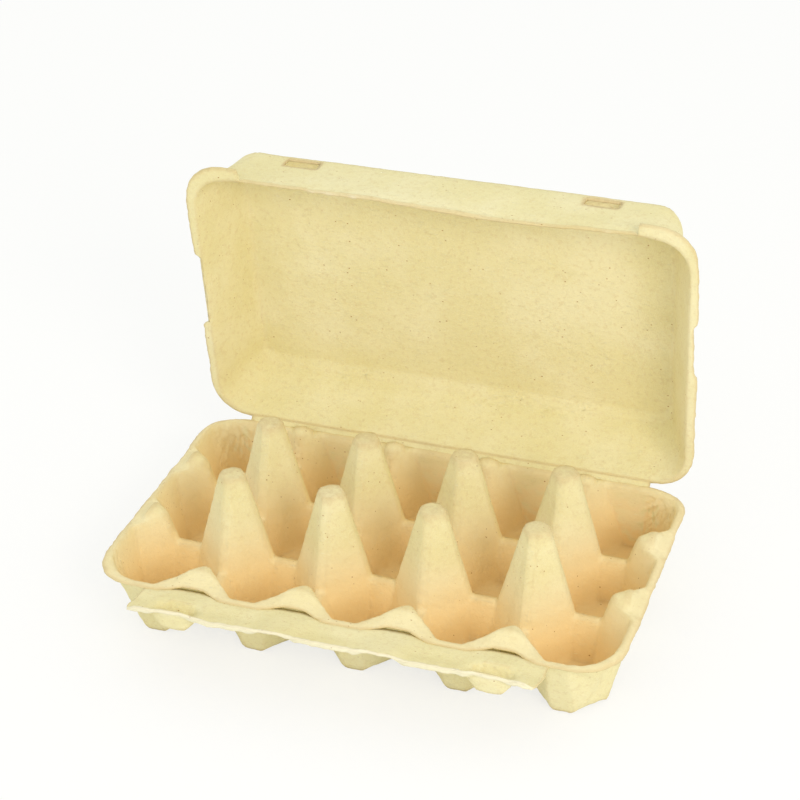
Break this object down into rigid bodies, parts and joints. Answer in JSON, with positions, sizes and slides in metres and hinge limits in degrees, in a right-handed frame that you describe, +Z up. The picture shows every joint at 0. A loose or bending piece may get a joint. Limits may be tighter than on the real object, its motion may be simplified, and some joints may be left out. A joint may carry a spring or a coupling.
{
  "type": "pulp egg carton",
  "caption": "Moulded pulp egg carton with rows of cells and tall posts, shown with its lid open and its lock flap down.",
  "frame": {"origin": "under the middle cell, on the plane of the feet", "axes": "+X along the carton to the right, +Y from the lock flap to the lid, +Z up"},
  "size_m": [0.2552, 0.207, 0.1878],
  "materials": {
    "pulp": "matte"
  },
  "bodies": {
    "tray": {"tray": "pulp"},
    "lid": {"lid": "pulp"},
    "lock_flap": {"lock_flap": "pulp"}
  },
  "joints": [
    {"name": "lid_fold", "type": "hinge", "parent": "tray", "child": "lid", "pos_m": [0, 0.0711, 0.0364], "axis": [-1, 0, 0], "range_deg": [-83, 90]},
    {"name": "flap_fold", "type": "hinge", "parent": "tray", "child": "lock_flap", "pos_m": [0, -0.0829, 0.0359], "axis": [-1, 0, 0], "range_deg": [-60, 75]}
  ]
}
